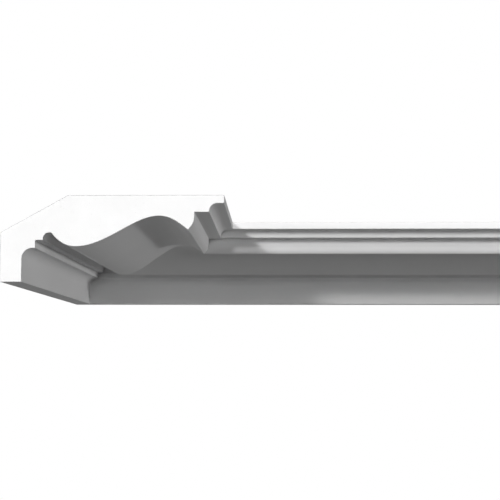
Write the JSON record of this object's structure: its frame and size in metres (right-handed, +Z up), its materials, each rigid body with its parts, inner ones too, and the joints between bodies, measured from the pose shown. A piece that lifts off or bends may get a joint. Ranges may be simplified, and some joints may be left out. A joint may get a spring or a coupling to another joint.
{
  "type": "cornice moulding corner",
  "caption": "Internal corner of a wide white cornice moulding: a long run mitred to a short return, with band, listel, bulging ogee, ovolo and fascia, glued between wall and ceiling.",
  "frame": {"origin": "the corner of the room, where both walls meet, at the height of the cornice's bottom edge", "axes": "+X runs along the back wall from the corner, +Y points into the back wall, -Y runs along the left wall towards the viewer, +Z points up to the ceiling"},
  "size_m": [2, 0.444, 0.087],
  "materials": {
    "white_primer": "matt white primer on rigid polyurethane foam"
  },
  "bodies": {
    "root": {"long_run": "white_primer", "short_return": "white_primer"}
  },
  "joints": []
}
